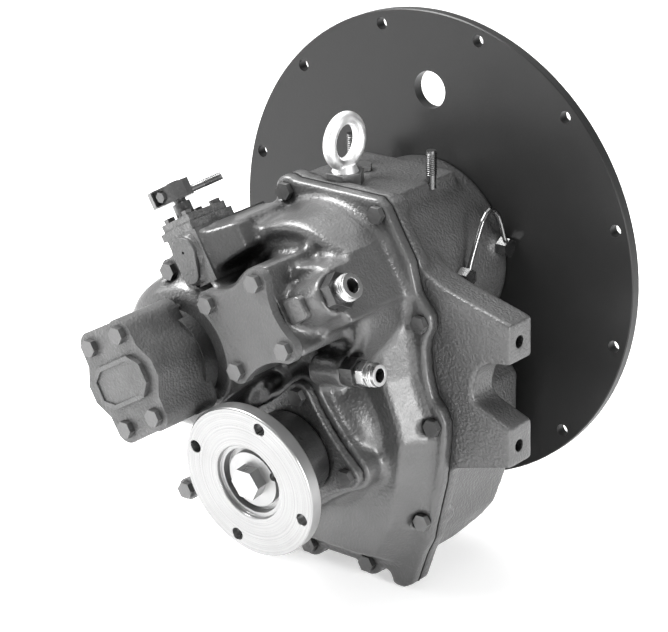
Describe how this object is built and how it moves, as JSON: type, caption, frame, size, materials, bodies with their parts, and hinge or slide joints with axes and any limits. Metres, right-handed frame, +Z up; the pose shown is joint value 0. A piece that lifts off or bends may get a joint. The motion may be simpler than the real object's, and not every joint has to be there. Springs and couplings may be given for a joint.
{
  "type": "marine gearbox",
  "caption": "Marine reversing gearbox with a round engine adapter plate, stacked shafts, gear pump, control lever and a sloping output flange.",
  "frame": {"origin": "on the input shaft axis, in the engine side face of the adapter plate", "axes": "+Y along the input shaft toward the engine, +Z up, +X to the right seen from the propeller side"},
  "size_m": [0.4031, 0.3318, 0.4506],
  "materials": {
    "grey_paint": "satin",
    "painted_bolts": "satin",
    "zinc": "satin",
    "bare_steel": "brushed",
    "black_fitting": "gloss",
    "lever_steel": "satin",
    "gear_steel": "ground",
    "bearing_steel": "polished",
    "friction_bronze": "matt",
    "seal_rubber": "matt",
    "gasket_paper": "matt",
    "strainer_mesh": "mesh"
  },
  "bodies": {
    "housing": {"adapter_plate": "grey_paint", "adapter_plate_bolts": "painted_bolts", "main_housing": "grey_paint", "lifting_eye": "zinc", "lifting_eye_nut": "painted_bolts", "top_studs": "bare_steel", "top_plug": "painted_bolts", "drain_plug": "painted_bolts", "housing_gasket": "gasket_paper", "rear_cover": "grey_paint", "cover_bolts": "painted_bolts", "blanking_cover": "grey_paint", "blanking_cover_bolts": "painted_bolts", "pump_body": "grey_paint", "pump_end_cover": "grey_paint", "pump_bolts": "painted_bolts", "valve_body": "grey_paint", "valve_lower_plate": "grey_paint", "valve_top_plate": "grey_paint", "valve_bolts": "painted_bolts", "valve_mounting_bolt": "painted_bolts", "upper_port_adapter": "black_fitting", "upper_port_fitting": "zinc", "lower_port_adapter": "black_fitting", "lower_port_fitting": "zinc", "strainer_cover": "grey_paint", "strainer_bolts": "painted_bolts", "suction_strainer": "strainer_mesh", "oil_tube": "grey_paint", "tube_fittings": "grey_paint", "bearing_retainer": "grey_paint", "retainer_bolts": "painted_bolts", "output_seal": "seal_rubber", "output_bearings": "bearing_steel", "input_seal": "seal_rubber", "input_bearings": "bearing_steel", "countershaft_bearings": "bearing_steel"},
    "input_line": {"input_shaft": "gear_steel", "forward_drum": "gear_steel", "forward_steel_plates": "gear_steel", "forward_piston": "gear_steel"},
    "counter_line": {"countershaft": "gear_steel", "reverse_drum": "gear_steel", "reverse_steel_plates": "gear_steel", "reverse_piston": "gear_steel", "pump_drive_gear": "gear_steel"},
    "pump_idler": {"pump_idler_gear": "gear_steel"},
    "output_line": {"output_shaft": "gear_steel", "output_gear": "gear_steel", "output_flange": "bare_steel", "flange_washer": "zinc", "flange_bolt": "zinc"},
    "forward_pinion_set": {"forward_pinion": "gear_steel", "forward_friction_discs": "friction_bronze"},
    "reverse_pinion_set": {"reverse_pinion": "gear_steel", "reverse_friction_discs": "friction_bronze"},
    "lever_set": {"valve_stem": "bare_steel", "control_lever": "lever_steel", "lever_clamp_screw": "painted_bolts", "lever_rod": "bare_steel"}
  },
  "joints": [
    {"name": "input_spin", "type": "hinge", "parent": "housing", "child": "input_line", "pos_m": [0, 0, 0], "axis": [0, 1, 0], "continuous": true},
    {"name": "counter_spin", "type": "hinge", "parent": "housing", "child": "counter_line", "pos_m": [-0.09526, 0, -0.055], "axis": [0, 1, 0], "continuous": true},
    {"name": "pump_idler_spin", "type": "hinge", "parent": "housing", "child": "pump_idler", "pos_m": [-0.08426, 0, -0.07405], "axis": [0, 1, 0], "continuous": true},
    {"name": "output_spin", "type": "hinge", "parent": "housing", "child": "output_line", "pos_m": [0, -0.082, -0.11], "axis": [0, 0.9925, 0.1219], "continuous": true},
    {"name": "forward_pinion_spin", "type": "hinge", "parent": "housing", "child": "forward_pinion_set", "pos_m": [0, 0, 0], "axis": [0, 1, 0], "continuous": true},
    {"name": "reverse_pinion_spin", "type": "hinge", "parent": "housing", "child": "reverse_pinion_set", "pos_m": [-0.09526, 0, -0.055], "axis": [0, 1, 0], "continuous": true},
    {"name": "lever_turn", "type": "hinge", "parent": "housing", "child": "lever_set", "pos_m": [-0.0933, -0.2085, 0.0616], "axis": [-0.5, 0, 0.866], "range_deg": [-30, 30]}
  ],
  "couplings": [
    {"joint": "counter_spin", "follows": "input_spin", "ratio": -1},
    {"joint": "pump_idler_spin", "follows": "input_spin", "ratio": 1},
    {"joint": "forward_pinion_spin", "follows": "output_spin", "ratio": -1.963},
    {"joint": "reverse_pinion_spin", "follows": "output_spin", "ratio": -1.963}
  ]
}
